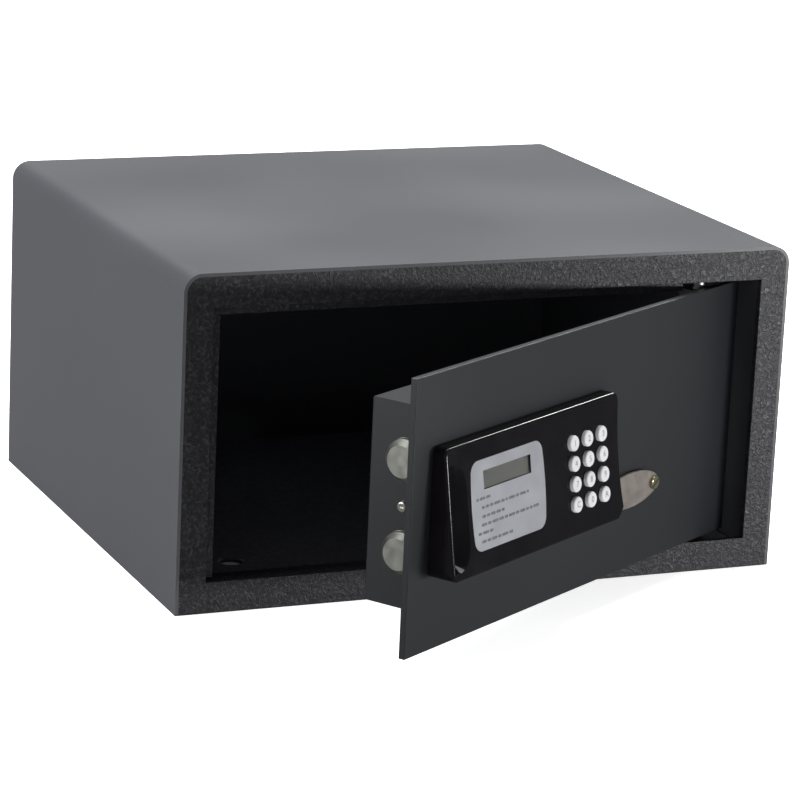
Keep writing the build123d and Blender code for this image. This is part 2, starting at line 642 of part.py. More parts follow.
def lock_cam():
    """Lever on the back of the plug."""
    w0 = LOCK_L + CAM_GAP
    lever = SlotCenterToCenter(CAM_REACH, CAM_W)
    place = DOOR_PLANE * Pos(LOCK_U, LOCK_V, -w0 - CAM_T) * Rot(0, 0, -90 - CAM_LEAN) * Pos(CAM_REACH / 2, 0)
    return extrude(place * lever, CAM_T)


def cover_spin_gap():
    return LOCK_FLANGE_T + COVER_CLEAR


def key_cover():
    """Oval plate that swivels over the override lock."""
    length, height = COVER_OVAL
    oval = Pos(COVER_SCREW_U - COVER_OVAL_FROM_SCREW, LOCK_V) * Ellipse(length / 2, height / 2)
    keep = Pos(COVER_SCREW_U - COVER_CUT_FROM_SCREW + length / 2, LOCK_V) * Rectangle(length, 2 * height)
    outline = oval & keep
    outline = fillet(outline.vertices().group_by(Axis.X)[0], COVER_CORNER_R)
    plate = extrude(DOOR_PLANE * Pos(0, 0, cover_spin_gap()) * outline, COVER_T)
    rim = plate.edges().group_by(Axis.Y)[0]
    return fillet(rim, EDGE_R) - rod_w(COVER_SCREW_U, LOCK_V, -2 * COVER_T - cover_spin_gap(), 0,
                                       COVER_SHAFT_R + PIN_FIT)


def cover_washer():
    gap = cover_spin_gap() - COVER_CLEAR / 2
    return (rod_w(COVER_SCREW_U, LOCK_V, -gap, 0, COVER_HEAD_R)
            - rod_w(COVER_SCREW_U, LOCK_V, -gap, 0, COVER_SHAFT_R))


def cover_screw():
    """Shouldered screw that the cover swivels on."""
    under_head = cover_spin_gap() + COVER_T + COVER_CLEAR / 2
    shaft = rod_w(COVER_SCREW_U, LOCK_V, -under_head, DOOR_T, COVER_SHAFT_R)
    head = rod_w(COVER_SCREW_U, LOCK_V, -under_head - COVER_HEAD_T, -under_head, COVER_HEAD_R)
    head = fillet(head.edges().group_by(Axis.Y)[0], COVER_HEAD_T * 0.4)
    slot = (DOOR_PLANE * Pos(COVER_SCREW_U, LOCK_V, under_head + COVER_HEAD_T) * Rot(0, 0, 35)
            * Box(2 * COVER_HEAD_R, 1.0, 1.6))
    return shaft + head - slot


# ---------------------------------------------------------------- electronics in the case
def control_board():
    length, height = CONTROL_BOARD
    w0 = DOOR_T + STANDOFF
    board = door_block(CONTROL_U, CONTROL_U + length, w0, w0 + BOARD_T, CONTROL_V, CONTROL_V + height)
    for du in (4.0, length - 4.0):
        for dv in (4.0, height - 4.0):
            board += rod_w(CONTROL_U + du, CONTROL_V + dv, DOOR_T, w0, 2.5)
    chip = door_block(CONTROL_U + 34, CONTROL_U + 46, w0 + BOARD_T, w0 + BOARD_T + 2, CONTROL_V + 24, CONTROL_V + 36)
    plug = door_block(CONTROL_U + 50, CONTROL_U + 60, w0 + BOARD_T, w0 + BOARD_T + 6, CONTROL_V + 8, CONTROL_V + 20)
    return board + chip + plug


def battery_holder():
    length, height, depth = battery_holder_size()
    w1 = CASE_W1 - CASE_T
    tray = door_block(HOLDER_U, HOLDER_U + length, w1 - depth, w1, HOLDER_V, HOLDER_V + height)
    return tray - door_block(HOLDER_U + HOLDER_WALL, HOLDER_U + length - HOLDER_WALL, w1 - depth + HOLDER_WALL, w1,
                             HOLDER_V + HOLDER_WALL, HOLDER_V + height - HOLDER_WALL)


def battery_cells():
    w = CASE_W1 - CASE_T - CELL_R
    z0 = DOOR_MID + HOLDER_V + HOLDER_WALL + CELL_GAP
    cells = []
    for i in range(4):
        u = HOLDER_U + HOLDER_WALL + CELL_GAP + CELL_R + i * (2 * CELL_R + CELL_GAP)
        flip = i % 2
        body_z0 = z0 + flip
        can = rod_z(DOOR_X0 + u, DOOR_Y0 + w, body_z0, body_z0 + CELL_L - 1.0, CELL_R)
        button_z0 = z0 + (1 - flip) * (CELL_L - 1.0)
        cells.append(can + rod_z(DOOR_X0 + u, DOOR_Y0 + w, button_z0, button_z0 + 1.0, 2.7))
    return cells[0] + cells[1] + cells[2] + cells[3]


def battery_cover():
    u0, u1, v0, v1 = battery_opening()
    cover = door_block(u0 - 2 * COVER_LAP, u1 + COVER_LAP, CASE_W1, CASE_W1 + BATTERY_COVER_T,
                       v0 - COVER_LAP, v1 + COVER_LAP)
    cover = fillet(cover.edges().group_by(Axis.Y)[-1], 0.8)
    return cover - rod_w(u0 - COVER_LAP, (v0 + v1) / 2, CASE_W1, CASE_W1 + BATTERY_COVER_T, SCREW_R)


# ---------------------------------------------------------------- keypad
def housing_outline():
    """Front view of the housing: rounded, waisted at its right end, bevelled at the lower right."""
    u0, u1 = HOUSING_U0, HOUSING_U1
    v0, v1 = HOUSING_BOTTOM_V, HOUSING_TOP_V
    r = HOUSING_R
    waist_top = (u1, v1 - r - 2)
    waist_low = (u1, v0 + HOUSING_FOOT)
    corner = r * (1 - math.sqrt(0.5))
    lines = [
        Line((u0 + r, v1), (u1 - r, v1)),
        ThreePointArc((u1 - r, v1), (u1 - corner, v1 - corner), (u1, v1 - r)),
        Line((u1, v1 - r), waist_top),
        ThreePointArc(waist_top, (u1 - HOUSING_WAIST, (waist_top[1] + waist_low[1]) / 2), waist_low),
        Line(waist_low, (u1 - HOUSING_FOOT, v0)),
        Line((u1 - HOUSING_FOOT, v0), (u0 + r, v0)),
        ThreePointArc((u0 + r, v0), (u0 + corner, v0 + corner), (u0, v0 + r)),
        Line((u0, v0 + r), (u0, v1 - r)),
        ThreePointArc((u0, v1 - r), (u0 + corner, v1 - corner), (u0 + r, v1)),
    ]
    return make_face(lines)


def behind_face(depth):
    """Everything further than depth behind the key face."""
    reach = 400.0
    return KEY_FACE * Pos(DOOR_WIDTH / 2, 0, -depth - reach / 2) * Box(2 * DOOR_WIDTH, reach, reach)


def pull_outline(size, radius, grow):
    """One level of the finger scoop: straight beside the left wall, rounded on the right."""
    width, height = size
    outline = Rectangle(width + 2 * grow, height + 2 * grow)
    right = outline.vertices().group_by(Axis.X)[-1]
    outline = fillet(right, radius + grow)
    left = outline.vertices().group_by(Axis.X)[0]
    outline = fillet(left, 1.0 + grow)
    return Pos(HOUSING_U0 + PULL_WALL + width / 2, PULL_V) * outline


def finger_scoop(grow):
    """Space of the finger pull: its right wall slopes from the key face down to a narrow floor."""
    mouth = KEY_FACE * Pos(0, 0, 0.5) * pull_outline(PULL_SIZE, PULL_R, grow)
    root = DOOR_PLANE * Pos(0, 0, PULL_FLOOR - grow) * pull_outline(PULL_ROOT, PULL_ROOT_R, grow)
    return loft([root, mouth], ruled=True)


def label_outline(shrink):
    """Label: straight top and foot, sides that bulge, rounded corners."""
    u0, u1 = LABEL_U[0] + shrink, LABEL_U[1] - shrink
    s0, s1 = LABEL_S[0] + shrink, LABEL_S[1] - shrink
    mid = (s0 + s1) / 2
    a, b = u0 + LABEL_BULGE, u1 - LABEL_BULGE
    face = make_face([Line((a, s1), (b, s1)), ThreePointArc((b, s1), (u1, mid), (b, s0)),
                      Line((b, s0), (a, s0)), ThreePointArc((a, s0), (u0, mid), (a, s1))])
    return fillet(face.vertices(), LABEL_R)


def window_outline(grow):
    return (Pos((WINDOW_U[0] + WINDOW_U[1]) / 2, (WINDOW_S[0] + WINDOW_S[1]) / 2)
            * Rectangle(WINDOW_U[1] - WINDOW_U[0] + 2 * grow, WINDOW_S[1] - WINDOW_S[0] + 2 * grow))


def key_points():
    return [(KEY_MID_U + (column - 1) * KEY_PITCH_U, KEY_MID_S + (1.5 - row) * KEY_PITCH_S)
            for row in range(4) for column in range(3)]


def on_face(sketch, z0, z1):
    """A sketch on the key face made solid between two heights above it."""
    return extrude(KEY_FACE * Pos(0, 0, z0) * sketch, z1 - z0)


def keypad_housing():
    """Wedge-shaped shell, open towards the door plate."""
    prism = extrude(DOOR_PLANE * housing_outline(), HOUSING_BOTTOM_DEPTH + 1)
    outer = prism & behind_face(0)
    normal = KEY_FACE.z_dir
    front = [f for f in outer.faces() if (f.normal_at() - normal).length < 1e-3][0]
    outer = fillet(front.edges(), HOUSING_EDGE_R)
    cavity = extrude(DOOR_PLANE * offset(housing_outline(), -HOUSING_T), HOUSING_BOTTOM_DEPTH) & behind_face(HOUSING_T)
    shell = outer - (cavity - finger_scoop(PULL_WALL))
    shell -= finger_scoop(0)
    shell -= on_face(label_outline(0), -LABEL_T, 1)
    shell -= on_face(window_outline(0), -HOUSING_T, 0)
    for u, s in key_points():
        shell -= on_face(Pos(u, s) * Circle(KEY_R + KEY_GAP), -HOUSING_T, 0)
    for u, v in housing_screw_points():
        boss = extrude(DOOR_PLANE * Pos(u, v) * Circle(BOSS_R), HOUSING_BOTTOM_DEPTH) & behind_face(HOUSING_T)
        shell += boss
        shell -= rod_w(u, v, -HOUSING_TOP_DEPTH + HOUSING_T + 1, 0, SCREW_R)
    return shell


def keypad_label():
    return on_face(label_outline(0.1) - window_outline(0), -LABEL_T, 0)


def display_window():
    return on_face(window_outline(0), -WINDOW_SINK - WINDOW_T, -WINDOW_SINK)


def display_module():
    return on_face(window_outline(2.0), BOARD_TOP, -HOUSING_T)


def key_field(grow):
    """Rectangle under the keys."""
    return Pos(KEY_MID_U, KEY_MID_S) * Rectangle(2 * KEY_PITCH_U + 2 * KEY_R + 2 * grow, 3 * KEY_PITCH_S + 2 * KEY_R + 2 * grow)


def keypad_mat():
    return on_face(key_field(1.5), BOARD_TOP, SHEET_TOP)


def keypad_board():
    u0 = WINDOW_U[0] - 4.0
    u1 = KEY_MID_U + KEY_PITCH_U + KEY_R + 3.0
    s1 = KEY_MID_S + 1.5 * KEY_PITCH_S + KEY_R + 1.0
    s0 = KEY_MID_S - 1.5 * KEY_PITCH_S - KEY_R - 1.0
    board = Pos((u0 + u1) / 2, (s0 + s1) / 2) * Rectangle(u1 - u0, s1 - s0)
    return on_face(board, BOARD_TOP - BOARD_T, BOARD_TOP)


def key_cap(u, s):
    """Round key with a flange that keeps it behind the housing wall."""
    spot = Pos(u, s)
    cap = on_face(spot * Circle(KEY_R), KEY_BASE, KEY_RISE)
    cap = fillet(cap.edges().sort_by(Axis(KEY_FACE.origin, KEY_FACE.z_dir))[-1], 0.9)
    flange_top = -HOUSING_T - 0.05
    return cap + on_face(spot * Circle(KEY_FLANGE_R), flange_top - KEY_FLANGE_T, flange_top)


def housing_screws():
    screws = None
    for u, v in housing_screw_points():
        place = Plane(origin=(DOOR_X0 + u, DOOR_Y0 + DOOR_T, DOOR_MID + v), z_dir=(0, 1, 0))
        screw = pan_screw(place, DOOR_T + 4.0)
        screws = screw if screws is None else screws + screw
    return screws


def ribbon_cable():
    """Flat cable from the keypad board through the plate to the control board."""
    width, thick = RIBBON
    strip = door_block(RIBBON_U - width / 2, RIBBON_U + width / 2, -HOUSING_BOTTOM_DEPTH, DOOR_T + STANDOFF,
                       RIBBON_V - thick / 2, RIBBON_V + thick / 2)
    return strip & behind_face(-(BOARD_TOP - BOARD_T))


# ---------------------------------------------------------------- write one file per node
def body_nodes():
    return {
        "body_wrap": body_wrap(), "front_frame": front_frame(), "base_plate": base_plate(),
        "rear_panel": rear_panel(), "stop_strip_left": stop_strip_left(), "stop_strip_top": stop_strip_top(),
        "sill_strip": sill_strip(), "hinge_bracket_upper": hinge_bracket(bracket_z(1), 1),
        "hinge_bracket_lower": hinge_bracket(bracket_z(-1), -1), "floor_mat": floor_mat(),
        "lamp_housing": lamp_housing(), "lamp_lens": lamp_lens(),
    }


def door_nodes():
    nodes = {
        "door_plate": door_plate(), "hinge_block_upper": hinge_block(1), "hinge_block_lower": hinge_block(-1),
        "hinge_pins": hinge_pin(1) + hinge_pin(-1),
        "lock_case": lock_case(), "case_bracket": case_bracket(), "case_screws": case_screws(),
        "bolt_guide": bolt_guide(), "motor_bracket": motor_bracket(), "gearmotor": gearmotor(),
        "control_board": control_board(), "ribbon_cable": ribbon_cable(),
        "battery_holder": battery_holder(), "battery_cells": battery_cells(), "battery_cover": battery_cover(),
        "lock_cylinder": lock_cylinder(), "lock_nut": lock_nut(),
        "cover_screw": cover_screw(), "cover_washer": cover_washer(),
        "keypad_housing": keypad_housing(), "keypad_label": keypad_label(), "display_window": display_window(),
        "display_module": display_module(), "keypad_mat": keypad_mat(), "keypad_board": keypad_board(),
        "housing_screws": housing_screws(),
        "locking_bolt_upper": locking_bolt(1), "locking_bolt_lower": locking_bolt(-1),
        "bolt_clips": bolt_clips(), "bolt_carriage": bolt_carriage(), "drive_rack": drive_rack(),
        "draw_bar": draw_bar(), "drive_pinion": drive_pinion(),
        "lock_plug": lock_plug(), "lock_cam": lock_cam(), "key_cover": key_cover(),
    }
    for name, (u, s) in zip(KEY_NAMES, key_points()):
        nodes["key_" + name] = key_cap(u, s)
    return nodes


def main():
    os.makedirs("parts", exist_ok=True)
    for name, part in body_nodes().items():
        export_step(part, "parts/" + name + ".step")
    for name, part in door_nodes().items():
        export_step(swing(part), "parts/" + name + ".step")


main()
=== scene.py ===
"""In-room hotel safe: the finishes and the fine pieces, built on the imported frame.

Lengths are in metres, in the frame's own axes.  The door hangs open at rest, so the door's pieces use
three directions taken from its joints: ALONG runs from its free edge to the hinge, OUT stands out of
its front, and LEAN is the outward direction of the sloping key face.
"""
import json
import math
import random

import bmesh
import bpy
from mathutils import Matrix, Vector


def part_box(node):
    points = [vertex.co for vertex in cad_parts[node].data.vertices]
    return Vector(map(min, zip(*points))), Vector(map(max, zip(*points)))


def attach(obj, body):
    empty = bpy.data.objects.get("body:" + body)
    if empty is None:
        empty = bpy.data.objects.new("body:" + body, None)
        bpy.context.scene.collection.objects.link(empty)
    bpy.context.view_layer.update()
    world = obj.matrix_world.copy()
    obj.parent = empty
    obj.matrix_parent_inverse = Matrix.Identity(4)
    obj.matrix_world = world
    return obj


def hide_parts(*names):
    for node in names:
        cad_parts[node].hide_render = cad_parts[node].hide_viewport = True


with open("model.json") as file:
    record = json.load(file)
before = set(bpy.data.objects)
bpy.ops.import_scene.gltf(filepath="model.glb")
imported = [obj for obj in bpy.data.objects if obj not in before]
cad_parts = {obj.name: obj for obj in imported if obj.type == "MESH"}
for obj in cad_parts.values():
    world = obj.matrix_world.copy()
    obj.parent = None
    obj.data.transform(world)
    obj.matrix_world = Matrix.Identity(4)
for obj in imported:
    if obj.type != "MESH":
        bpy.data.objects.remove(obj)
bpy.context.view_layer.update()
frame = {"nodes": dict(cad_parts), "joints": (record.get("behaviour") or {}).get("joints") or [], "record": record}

MM = 0.001
NODES = frame["nodes"]
JOINTS = {joint["name"]: joint for joint in frame["joints"]}
UP = Vector((0, 0, 1))
REST_ANGLE = math.radians(-JOINTS["door_hinge"]["range_deg"][0])
ALONG = Vector((math.cos(REST_ANGLE), math.sin(REST_ANGLE), 0))
OUT = Vector((math.sin(REST_ANGLE), -math.cos(REST_ANGLE), 0))
LEAN = -Vector(JOINTS["key_1_press"]["axis"]).normalized()
FACE_UP = LEAN.cross(ALONG)
KEY_NAMES = ("1", "2", "3", "4", "5", "6", "7", "8", "9", "clear", "0", "lock")


# ------------------------------------------------------------------ camera, floor and light
CAMERA_AT = Vector((-0.8173, -1.9211, 0.6211))
CAMERA_AIM = Vector((0.0190, 0.0114, 0.0687))
CAMERA_ROLL = math.radians(2.62)
CAMERA_LENS = 154.1
SENSOR_WIDTH = 36.0
VIEW_REACH = 100.0
FLOOR_SIZE = 40.0
WORLD_LIGHT = 0.2
TABLE_GLOW = 0.75
SOFTBOXES = (            # name, where it stands, what it faces, width and height, power in watts
    ("overhead", (0.1, 0.7, 2.3), (0.1, 0.1, 0.1), (2.4, 2.2), 116.0),
    ("right_back", (1.45, 0.75, 1.3), (0.0, -0.1, 0.1), (0.4, 0.3), 21.0),
    ("right_low", (0.85, -1.0, 0.05), (0.2, -0.2, 0.02), (0.4, 0.08), 8.0),
    ("left", (-2.0, -0.1, 0.55), (0.0, 0.0, 0.1), (1.2, 0.9), 27.0),
)


def place(obj, at, aim, roll=0.0):
    """Stands something at a point, so that it looks along its own -Z at another."""
    back = (at - aim).normalized()
    right = UP.cross(back).normalized()
    over = back.cross(right)
    side = right * math.cos(roll) + over * math.sin(roll)
    top = over * math.cos(roll) - right * math.sin(roll)
    obj.matrix_world = Matrix.Translation(at) @ Matrix((side, top, back)).transposed().to_4x4()


def add_camera():
    data = bpy.data.cameras.new("camera")
    data.lens = CAMERA_LENS
    data.sensor_width = SENSOR_WIDTH
    data.clip_end = VIEW_REACH
    camera = bpy.data.objects.new("camera", data)
    bpy.context.scene.collection.objects.link(camera)
    place(camera, CAMERA_AT, CAMERA_AIM, CAMERA_ROLL)
    bpy.context.scene.camera = camera


def add_softbox(name, at, aim, size, power):
    data = bpy.data.lights.new(name, "AREA")
    data.shape = "RECTANGLE"
    data.size, data.size_y = size
    data.energy = power
    lamp = bpy.data.objects.new(name, data)
    bpy.context.scene.collection.objects.link(lamp)
    place(lamp, Vector(at), Vector(aim))


# ------------------------------------------------------------------ material tools
def linear(hex_text):
    """sRGB hex value to a linear colour."""
    channels = [int(hex_text[i:i + 2], 16) / 255 for i in (1, 3, 5)]
    return tuple(c / 12.92 if c <= 0.04045 else ((c + 0.055) / 1.055) ** 2.4 for c in channels) + (1.0,)


def node(tree, kind, inputs=None, **settings):
    """Adds a node.  inputs maps its sockets to values, or to the socket that feeds them."""
    new = tree.nodes.new("ShaderNode" + kind)
    for name, value in settings.items():
        setattr(new, name, value)
    for socket, value in (inputs or {}).items():
        if isinstance(value, bpy.types.NodeSocket):
            tree.links.new(value, new.inputs[socket])
        else:
            new.inputs[socket].default_value = value
    return new


def per_mm(size_mm):
    """Pattern scale that makes one feature size_mm long on Object coordinates, which are in metres."""
    return 1000.0 / size_mm


def start(name):
    """A new material's tree, its Principled shader and its Object coordinates."""
    made = bpy.data.materials.new(name)
    made.use_nodes = True
    tree = made.node_tree
    tree.nodes.clear()
    shader = node(tree, "BsdfPrincipled")
    node(tree, "OutputMaterial", {"Surface": shader.outputs["BSDF"]})
    return made, tree, shader, node(tree, "TexCoord").outputs["Object"]


def feed(tree, shader, **sources):
    """Links or sets the shader's sockets; an underscore stands for a space in their names."""
    for name, value in sources.items():
        socket = shader.inputs[name.replace("_", " ")]
        if isinstance(value, bpy.types.NodeSocket):
            tree.links.new(value, socket)
        else:
            socket.default_value = value


def ramp(tree, factor, stops):
    """Colour ramp from (position, colour) stops."""
    made = node(tree, "ValToRGB", {"Fac": factor})
    elements = made.color_ramp.elements
    elements[0].position, elements[0].color = stops[0]
    elements[1].position, elements[1].color = stops[-1]
    for position, colour in stops[1:-1]:
        elements.new(position).color = colour
    return made.outputs["Color"]


# ------------------------------------------------------------------ finishes
def powder_coat(name, colour, darker, lighter, peel_mm=0.9, rough=(0.40, 0.52)):
    """Polyester powder coat baked on steel: even colour, faint orange peel, satin highlights."""
    made, tree, shader, at = start(name)
    cloud = node(tree, "TexNoise", {"Vector": at, "Scale": per_mm(160), "Detail": 1.0, "Roughness": 0.4})
    grain = node(tree, "TexNoise", {"Vector": at, "Scale": per_mm(0.8), "Detail": 2.0, "Roughness": 0.6})
    peel = node(tree, "TexNoise", {"Vector": at, "Scale": per_mm(peel_mm), "Detail": 3.0, "Roughness": 0.5})
    tone = node(tree, "Math", {0: cloud.outputs["Fac"], 1: 0.25, 2: grain.outputs["Fac"]},
                operation="MULTIPLY_ADD")
    colour_out = ramp(tree, tone.outputs[0],
                      [(0.44, linear(darker)), (0.62, linear(colour)), (0.80, linear(lighter))])
    rough_out = node(tree, "MapRange", {"Value": cloud.outputs["Fac"], "From Min": 0.3, "From Max": 0.7,
                                        "To Min": rough[0], "To Max": rough[1]})
    bump = node(tree, "Bump", {"Height": peel.outputs["Fac"], "Strength": 0.25, "Distance": 0.00008})
    feed(tree, shader, Base_Color=colour_out, Roughness=rough_out.outputs[0], Normal=bump.outputs["Normal"])
    return made


HAMMER_DRIFT = 4 * MM                  # how far the ripples wander from an even grid


def hammered_coat():
    """Hammer-effect enamel: a dark binder in which aluminium flake gathers on the crests of the ripples."""
    made, tree, shader, at = start("hammered_enamel")
    wander = node(tree, "TexNoise", {"Vector": at, "Scale": per_mm(6.0), "Detail": 2.0, "Roughness": 0.5})
    bent = node(tree, "VectorMath", {0: wander.outputs["Color"], 1: (HAMMER_DRIFT,) * 3, 2: at},
                operation="MULTIPLY_ADD")
    ripple = node(tree, "TexNoise", {"Vector": bent.outputs[0], "Scale": per_mm(2.2), "Detail": 3.0,
                                     "Roughness": 0.6, "Distortion": 0.6})
    fine = node(tree, "TexNoise", {"Vector": at, "Scale": per_mm(0.5), "Detail": 2.0, "Roughness": 0.6})
    height = node(tree, "Math", {0: fine.outputs["Fac"], 1: 0.25, 2: ripple.outputs["Fac"]},
                  operation="MULTIPLY_ADD")
    colour_out = ramp(tree, height.outputs[0], [(0.50, linear("#0c0c0f")), (0.64, linear("#1c1c20")),
                                                (0.78, linear("#3e3e44"))])
    flake = node(tree, "MapRange", {"Value": height.outputs[0], "From Min": 0.55, "From Max": 0.8,
                                    "To Min": 0.0, "To Max": 0.55})
    rough_out = node(tree, "MapRange", {"Value": height.outputs[0], "From Min": 0.45, "From Max": 0.8,
                                        "To Min": 0.52, "To Max": 0.36})
    bump = node(tree, "Bump", {"Height": height.outputs[0], "Strength": 0.8, "Distance": 0.0007})
    feed(tree, shader, Base_Color=colour_out, Metallic=flake.outputs[0], Roughness=rough_out.outputs[0],
         Normal=bump.outputs["Normal"])
    return made


def polished_abs():
    """Injection-moulded ABS from a polished tool: near black, mirror-like, with faint handling marks."""
    made, tree, shader, at = start("polished_black_abs")
    smear = node(tree, "TexNoise", {"Vector": at, "Scale": per_mm(24), "Detail": 5.0, "Roughness": 0.65})
    flow = node(tree, "TexNoise", {"Vector": at, "Scale": per_mm(9), "Detail": 1.0})
    colour_out = ramp(tree, smear.outputs["Fac"], [(0.3, linear("#070608")), (0.7, linear("#0e0c10"))])
    rough_out = node(tree, "MapRange", {"Value": smear.outputs["Fac"], "From Min": 0.35, "From Max": 0.75,
                                        "To Min": 0.10, "To Max": 0.24})
    bump = node(tree, "Bump", {"Height": flow.outputs["Fac"], "Strength": 0.06, "Distance": 0.0002})
    feed(tree, shader, Base_Color=colour_out, Roughness=rough_out.outputs[0], Normal=bump.outputs["Normal"],
         IOR=1.49, Specular_IOR_Level=0.2)
    return made


def moulded_plastic(name, colour, shade, rough, grain_mm=0.35, strength=0.3):
    """Moulded plastic from a spark-eroded tool: even colour and a very fine matt grain."""
    made, tree, shader, at = start(name)
    grain = node(tree, "TexNoise", {"Vector": at, "Scale": per_mm(grain_mm), "Detail": 2.0, "Roughness": 0.6})
    cloud = node(tree, "TexNoise", {"Vector": at, "Scale": per_mm(12), "Detail": 2.0})
    colour_out = ramp(tree, cloud.outputs["Fac"], [(0.3, linear(shade)), (0.7, linear(colour))])
    rough_out = node(tree, "MapRange", {"Value": grain.outputs["Fac"], "From Min": 0.3, "From Max": 0.7,
                                        "To Min": rough, "To Max": rough + 0.12})
    bump = node(tree, "Bump", {"Height": grain.outputs["Fac"], "Strength": strength, "Distance": 0.00005})
    feed(tree, shader, Base_Color=colour_out, Roughness=rough_out.outputs[0], Normal=bump.outputs["Normal"],
         IOR=1.5)
    return made


def metal(name, colour, shade, rough, long_mm, fine_mm, turn=(0.0, 0.0, 0.0), strength=0.25):
    """Brushed or drawn metal: long scratches across a fine pitch, in the direction that turn gives."""
    made, tree, shader, at = start(name)
    turned = node(tree, "Mapping", {"Vector": at, "Rotation": turn,
                                    "Scale": (per_mm(long_mm), per_mm(fine_mm), per_mm(fine_mm))})
    lines = node(tree, "TexNoise", {"Vector": turned.outputs[0], "Scale": 1.0, "Detail": 3.0,
                                    "Roughness": 0.7})
    cloud = node(tree, "TexNoise", {"Vector": at, "Scale": per_mm(9), "Detail": 3.0})
    colour_out = ramp(tree, lines.outputs["Fac"], [(0.25, linear(shade)), (0.75, linear(colour))])
    mixed = node(tree, "Math", {0: lines.outputs["Fac"], 1: cloud.outputs["Fac"]}, operation="ADD")
    rough_out = node(tree, "MapRange", {"Value": mixed.outputs[0], "From Min": 0.6, "From Max": 1.4,
                                        "To Min": rough - 0.06, "To Max": rough + 0.1})
    bump = node(tree, "Bump", {"Height": lines.outputs["Fac"], "Strength": strength, "Distance": 0.00004})
    feed(tree, shader, Base_Color=colour_out, Metallic=1.0, Roughness=rough_out.outputs[0],
         Normal=bump.outputs["Normal"])
    return made


def turned_steel():
    """Bar steel faced and turned on a lathe: fine rings round the bolt and on its end."""
    made, tree, shader, at = start("turned_bolt_steel")
    upper, lower = centre_of("locking_bolt_upper"), centre_of("locking_bolt_lower")
    middle = (upper.z + lower.z) / 2
    gap = abs(upper.z - lower.z) / 2
    depth = upper.dot(-OUT)
    turned = node(tree, "Mapping", {"Vector": at, "Rotation": (0.0, 0.0, -REST_ANGLE)})
    split = node(tree, "SeparateXYZ", {0: turned.outputs[0]})
    above = node(tree, "Math", {0: split.outputs[2], 1: middle}, operation="SUBTRACT")
    folded = node(tree, "Math", {0: above.outputs[0]}, operation="ABSOLUTE")
    z_off = node(tree, "Math", {0: folded.outputs[0], 1: gap}, operation="SUBTRACT")
    y_off = node(tree, "Math", {0: split.outputs[1], 1: depth}, operation="SUBTRACT")
    z_sq = node(tree, "Math", {0: z_off.outputs[0], 1: 2.0}, operation="POWER")
    y_sq = node(tree, "Math", {0: y_off.outputs[0], 1: 2.0}, operation="POWER")
    total = node(tree, "Math", {0: z_sq.outputs[0], 1: y_sq.outputs[0]}, operation="ADD")
    radius = node(tree, "Math", {0: total.outputs[0]}, operation="SQRT")
    rings = node(tree, "CombineXYZ", {0: split.outputs[0], 1: radius.outputs[0]})
    marks = node(tree, "TexNoise", {"Vector": rings.outputs[0], "Scale": per_mm(0.45), "Detail": 3.0,
                                    "Roughness": 0.7})
    haze = node(tree, "TexNoise", {"Vector": at, "Scale": per_mm(6), "Detail": 4.0})
    colour_out = ramp(tree, marks.outputs["Fac"], [(0.3, linear("#8f908a")), (0.7, linear("#b2b3ac"))])
    rough_out = node(tree, "MapRange", {"Value": haze.outputs["Fac"], "From Min": 0.3, "From Max": 0.7,
                                        "To Min": 0.3, "To Max": 0.42})
    bump = node(tree, "Bump", {"Height": marks.outputs["Fac"], "Strength": 0.35, "Distance": 0.00005})
    feed(tree, shader, Base_Color=colour_out, Metallic=1.0, Roughness=rough_out.outputs[0],
         Normal=bump.outputs["Normal"])
    return made


def silver_film():
    """Screen-printed polyester film: silver-grey ink with fine metal flake under a satin coat."""
    made, tree, shader, at = start("silver_printed_film")
    flake = node(tree, "TexVoronoi", {"Vector": at, "Scale": per_mm(0.35)})
    cloud = node(tree, "TexNoise", {"Vector": at, "Scale": per_mm(18), "Detail": 2.0})
    colour_out = ramp(tree, cloud.outputs["Fac"], [(0.3, linear("#7d7f83")), (0.7, linear("#898b90"))])
    rough_out = node(tree, "MapRange", {"Value": flake.outputs["Distance"], "To Min": 0.34, "To Max": 0.5})
    bump = node(tree, "Bump", {"Height": flake.outputs["Distance"], "Strength": 0.1, "Distance": 0.00003})
    feed(tree, shader, Base_Color=colour_out, Metallic=0.25, Roughness=rough_out.outputs[0],
         Normal=bump.outputs["Normal"])
    return made


def clear_acrylic():
    """Cast acrylic window: see-through with a faint grey tint, and hardly any haze."""
    made, tree, shader, at = start("clear_acrylic")
    haze = node(tree, "TexNoise", {"Vector": at, "Scale": per_mm(8), "Detail": 3.0})
    rough_out = node(tree, "MapRange", {"Value": haze.outputs["Fac"], "To Min": 0.02, "To Max": 0.07})
    feed(tree, shader, Base_Color=linear("#d4d5d0"), Roughness=rough_out.outputs[0], IOR=1.49,
         Transmission_Weight=1.0)
    return made


def liquid_crystal():
    """Reflective liquid crystal panel: grey-green, with a fine cell grid."""
    made, tree, shader, at = start("liquid_crystal_panel")
    turned = node(tree, "Mapping", {"Vector": at, "Rotation": (0.0, 0.0, -REST_ANGLE)})
    cells = node(tree, "TexBrick", {"Vector": turned.outputs[0], "Scale": per_mm(1.0), "Mortar Size": 0.02,
                                    "Color1": linear("#2e2f2b"), "Color2": linear("#2b2c28"),
                                    "Mortar": linear("#252622")})
    feed(tree, shader, Base_Color=cells.outputs["Color"], Roughness=0.3, IOR=1.5, Specular_IOR_Level=0.05)
    return made


LAMP_GLOW = 2.0


